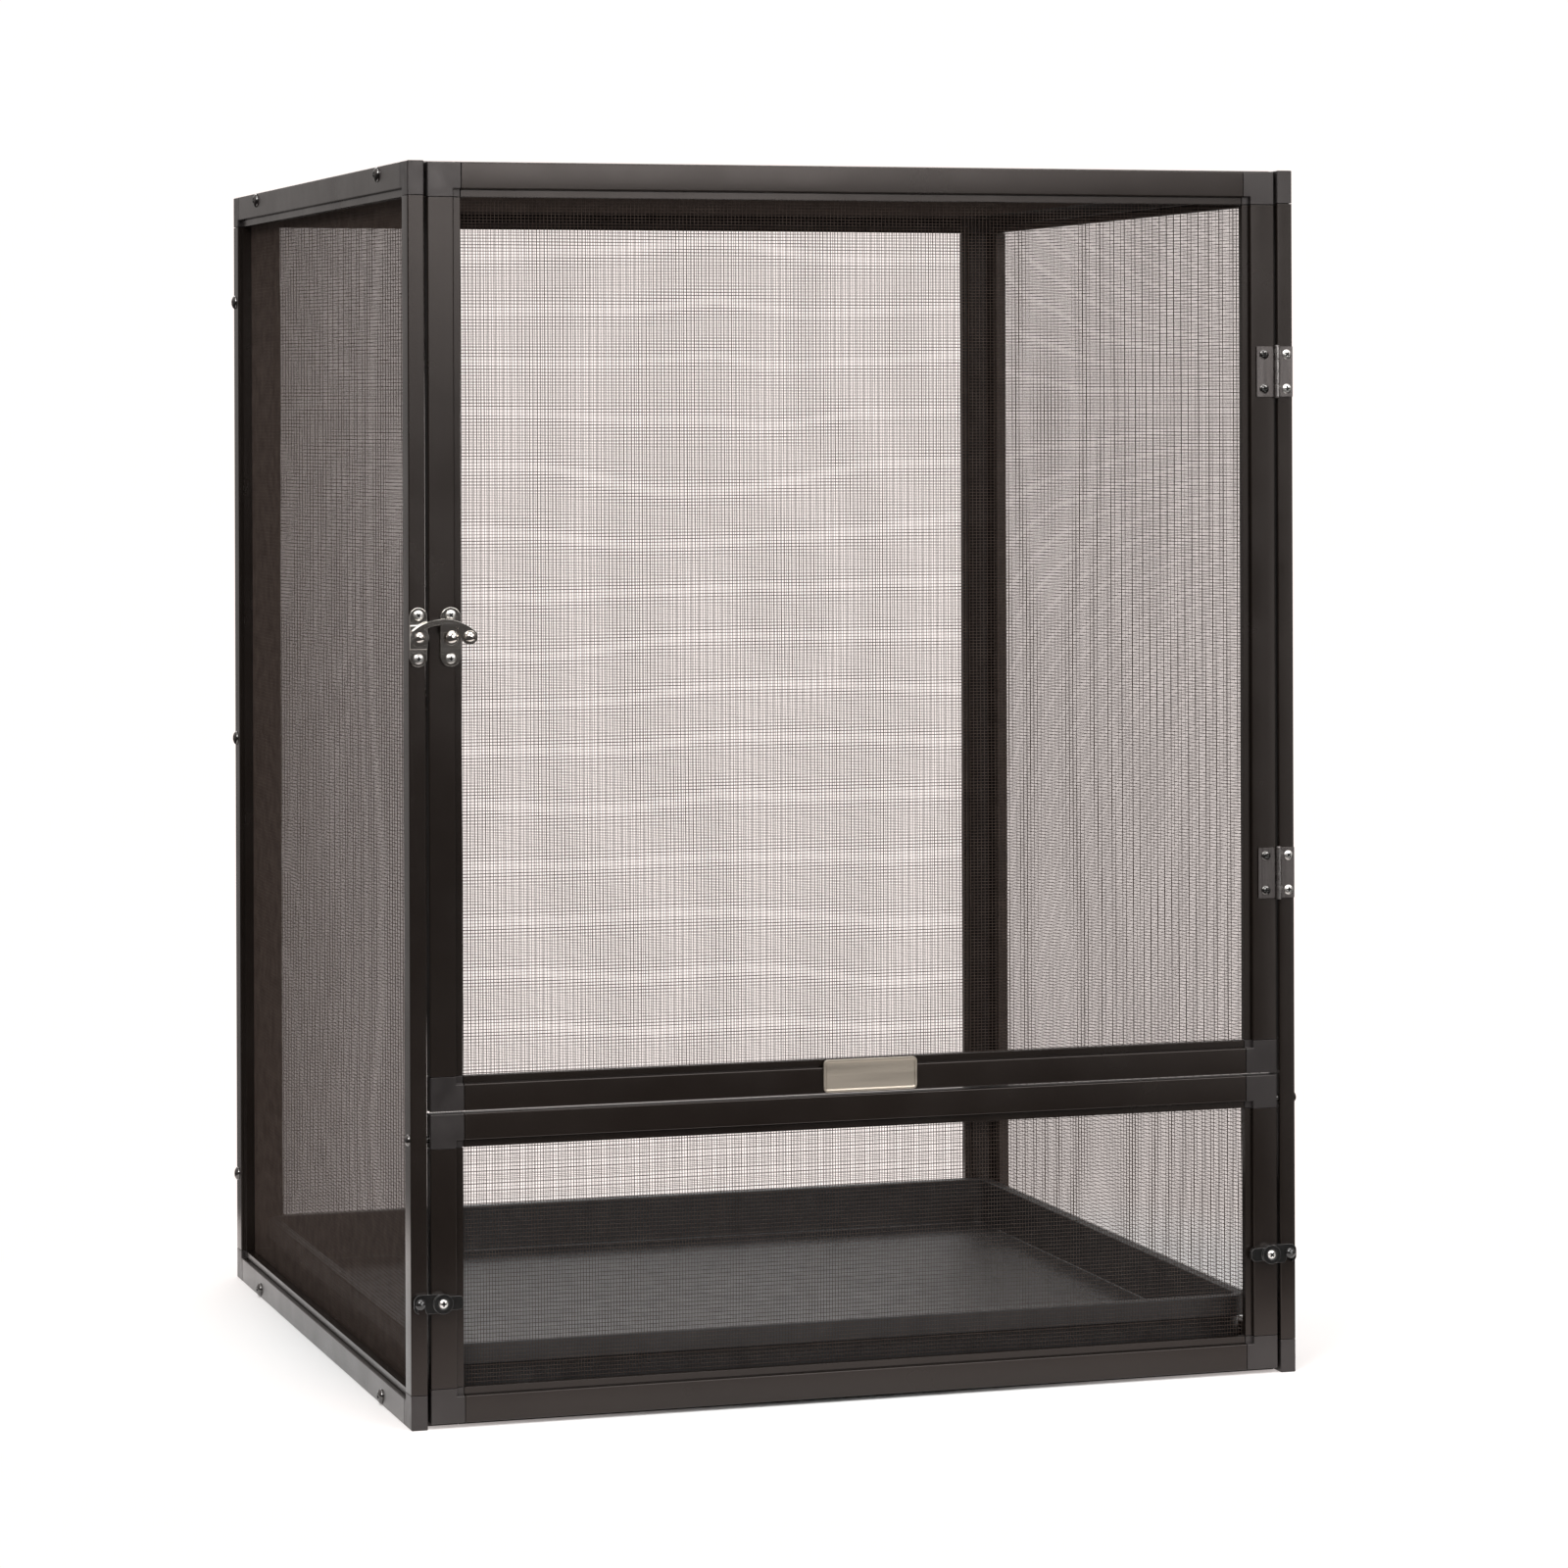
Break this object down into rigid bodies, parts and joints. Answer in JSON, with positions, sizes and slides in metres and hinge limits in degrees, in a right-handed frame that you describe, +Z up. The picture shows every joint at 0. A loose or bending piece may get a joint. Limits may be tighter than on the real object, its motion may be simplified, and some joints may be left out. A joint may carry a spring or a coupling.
{
  "type": "mesh reptile cage",
  "caption": "Free-standing screen cage of black framed panels with a hinged latched door, a low clipped flap and a pull-out tray.",
  "frame": {"origin": "middle of the base, on the surface that the cage stands on", "axes": "+Z up, the door and the flap face -Y, +X to the right seen from the front"},
  "size_m": [0.454, 0.4573, 0.6],
  "materials": {
    "frame_black": "satin black-brown powder coat on rolled aluminium",
    "corner_black": "smooth black plastic",
    "screen_wire": "coated fine wire",
    "spline_rubber": "soft black cord",
    "screw_black": "black oxide, domed head",
    "screw_silver": "bright zinc, domed head",
    "hinge_bronze": "black nickel plate",
    "latch_nickel": "bright nickel plate",
    "clip_black": "black moulded plastic",
    "tray_black": "black formed plastic sheet"
  },
  "bodies": {
    "cabinet": {"left_panel_rails": "frame_black", "left_panel_stiles": "frame_black", "left_panel_corners": "corner_black", "left_panel_screen": "screen_wire", "left_panel_spline": "spline_rubber", "right_panel_rails": "frame_black", "right_panel_stiles": "frame_black", "right_panel_corners": "corner_black", "right_panel_screen": "screen_wire", "right_panel_spline": "spline_rubber", "back_panel_rails": "frame_black", "back_panel_stiles": "frame_black", "back_panel_corners": "corner_black", "back_panel_screen": "screen_wire", "back_panel_spline": "spline_rubber", "top_panel_rails": "frame_black", "top_panel_stiles": "frame_black", "top_panel_corners": "corner_black", "top_panel_screen": "screen_wire", "top_panel_spline": "spline_rubber", "bottom_panel_rails": "frame_black", "bottom_panel_stiles": "frame_black", "bottom_panel_corners": "corner_black", "bottom_panel_screen": "screen_wire", "bottom_panel_spline": "spline_rubber", "assembly_screws": "screw_black", "flap_pivot_screws": "screw_black", "hinge_post_leaves": "hinge_bronze", "hinge_pins": "hinge_bronze", "hinge_post_screws": "screw_silver", "latch_base": "latch_nickel", "latch_base_screws": "screw_silver", "latch_pivot_rivet": "latch_nickel", "clip_keepers": "clip_black"},
    "door": {"door_rails": "frame_black", "door_stiles": "frame_black", "door_corners": "corner_black", "door_screen": "screen_wire", "door_spline": "spline_rubber", "hinge_door_leaves": "hinge_bronze", "hinge_door_screws": "screw_black", "latch_catch": "latch_nickel", "latch_catch_screws": "screw_silver", "latch_stud": "latch_nickel"},
    "latch_arm": {"latch_arm": "latch_nickel", "latch_knob": "latch_nickel"},
    "flap": {"flap_rails": "frame_black", "flap_stiles": "frame_black", "flap_corners": "corner_black", "flap_screen": "screen_wire", "flap_spline": "spline_rubber", "clip_screws": "screw_silver"},
    "left_clip": {"left_clip": "clip_black"},
    "right_clip": {"right_clip": "clip_black"},
    "tray": {"tray": "tray_black"}
  },
  "joints": [
    {"name": "door_swing", "type": "hinge", "parent": "cabinet", "child": "door", "pos_m": [0.2162, -0.2266, 0.37465], "axis": [0, 0, 1], "range_deg": [0, 150]},
    {"name": "latch_swing", "type": "hinge", "parent": "cabinet", "child": "latch_arm", "pos_m": [-0.2206, -0.2285, 0.37465], "axis": [0, -1, 0], "range_deg": [0, 95]},
    {"name": "flap_swing", "type": "hinge", "parent": "cabinet", "child": "flap", "pos_m": [0, -0.221, 0.1368], "axis": [-1, 0, 0], "range_deg": [0, 90]},
    {"name": "left_clip_turn", "type": "hinge", "parent": "flap", "child": "left_clip", "pos_m": [-0.2104, -0.227, 0.06], "axis": [0, 1, 0], "range_deg": [0, 90]},
    {"name": "right_clip_turn", "type": "hinge", "parent": "flap", "child": "right_clip", "pos_m": [0.2104, -0.227, 0.06], "axis": [0, -1, 0], "range_deg": [0, 90]},
    {"name": "tray_slide", "type": "slide", "parent": "cabinet", "child": "tray", "axis": [0, -1, 0], "range_m": [0, 0.2]}
  ],
  "couplings": [
    {"joint": "tray_slide", "follows": "flap_swing", "m_per_rad": 0.1273}
  ]
}
